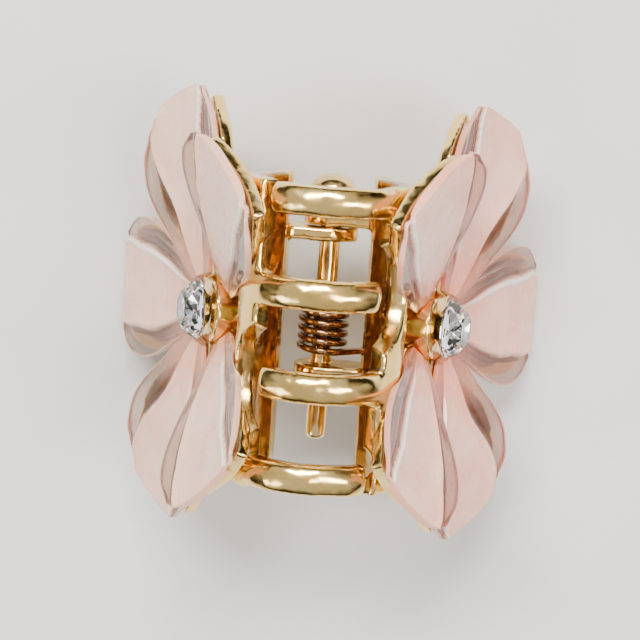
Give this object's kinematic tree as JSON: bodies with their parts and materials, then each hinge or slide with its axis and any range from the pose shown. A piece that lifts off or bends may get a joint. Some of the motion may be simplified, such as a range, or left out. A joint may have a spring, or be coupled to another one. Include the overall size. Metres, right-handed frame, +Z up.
{
  "type": "claw hair clip",
  "caption": "Small cast metal claw clip with interleaved curved teeth, a sprung hinge and a resin petal flower with a faceted stone on each side.",
  "frame": {"origin": "centre of the bounding box at its base, on the table the clip lies on with its teeth up", "axes": "+X towards the right-hand half, +Y along the hinge pin towards its domed head, +Z up through the teeth"},
  "size_m": [0.0408, 0.0408, 0.0339],
  "materials": {
    "cast_gold": "polished gold plating over a slightly uneven casting",
    "plate_gold": "gold plated casting",
    "pin_gold": "polished",
    "spring_wire": "drawn wire, gold toned",
    "left_resin": "glossy milky pink translucent resin",
    "right_resin": "glossy milky pink translucent resin",
    "crystal": "clear faceted glass with a foiled back"
  },
  "bodies": {
    "left_half": {"left_jaw": "cast_gold", "left_flower_plate": "plate_gold", "left_petal_rear_top": "left_resin", "left_petal_rear_side": "left_resin", "left_petal_bottom": "left_resin", "left_petal_front_side": "left_resin", "left_petal_front_top": "left_resin", "left_stone": "crystal", "hinge_pin": "pin_gold", "torsion_spring": "spring_wire"},
    "right_half": {"right_jaw": "cast_gold", "right_flower_plate": "plate_gold", "right_petal_rear_top": "right_resin", "right_petal_rear_side": "right_resin", "right_petal_bottom": "right_resin", "right_petal_front_side": "right_resin", "right_petal_front_top": "right_resin", "right_stone": "crystal"}
  },
  "joints": [
    {"name": "jaw_hinge", "type": "hinge", "parent": "left_half", "child": "right_half", "pos_m": [0, 0, 0.0154], "axis": [0, 1, 0], "range_deg": [0, 60], "stiffness_Nm_per_rad": 0.02, "springref_deg": -20.05, "deforming": ["torsion_spring"]}
  ]
}
